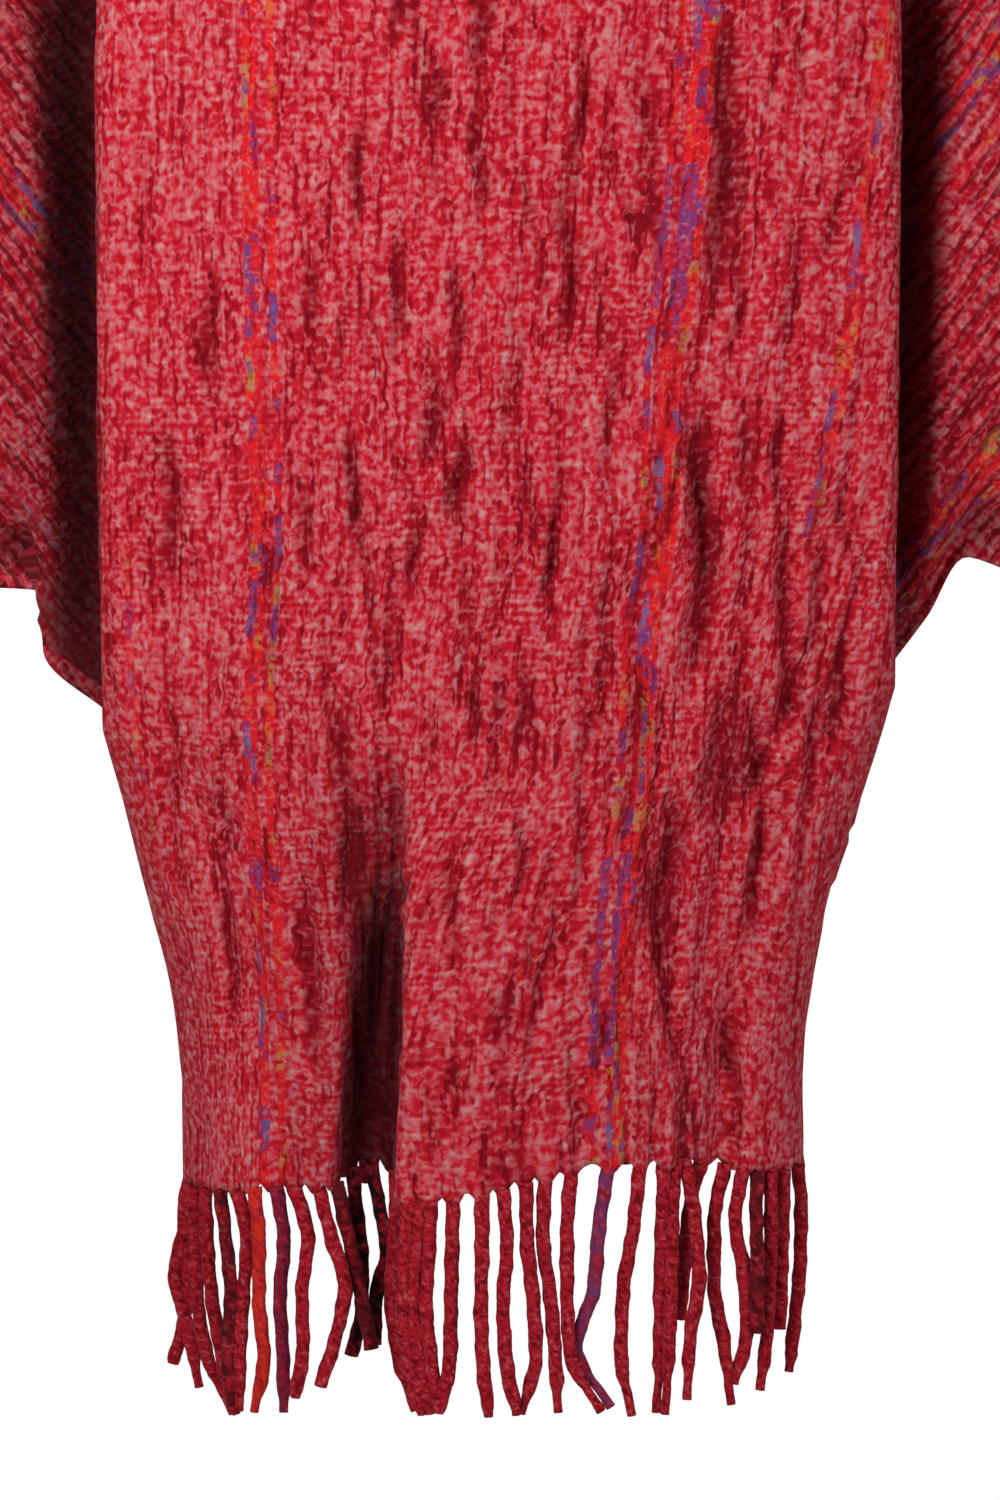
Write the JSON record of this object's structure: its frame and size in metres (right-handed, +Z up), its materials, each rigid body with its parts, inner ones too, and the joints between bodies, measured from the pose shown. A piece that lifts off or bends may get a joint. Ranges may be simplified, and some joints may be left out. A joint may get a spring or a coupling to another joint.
{
  "type": "poncho",
  "caption": "Fringed poncho of thick marled cloth with wide batwing sleeves, filled out as worn, open at the neck, cuffs and hem.",
  "frame": {"origin": "between the wearer's shoulders, level with the top of the shoulder seams at the neck", "axes": "+Z up, +X towards the wearer's left sleeve, -Y the way the front faces"},
  "size_m": [1.01, 0.247, 1.013],
  "materials": {
    "front_cloth": "marled red wool with space-dyed stripes, matte",
    "back_cloth": "marled red wool with space-dyed stripes, matte",
    "front_yarn": "twisted red wool yarn, matte",
    "back_yarn": "twisted red wool yarn, matte"
  },
  "bodies": {
    "root": {"front_panel": "front_cloth", "back_panel": "back_cloth", "front_fringe": "front_yarn", "back_fringe": "back_yarn"}
  },
  "joints": []
}
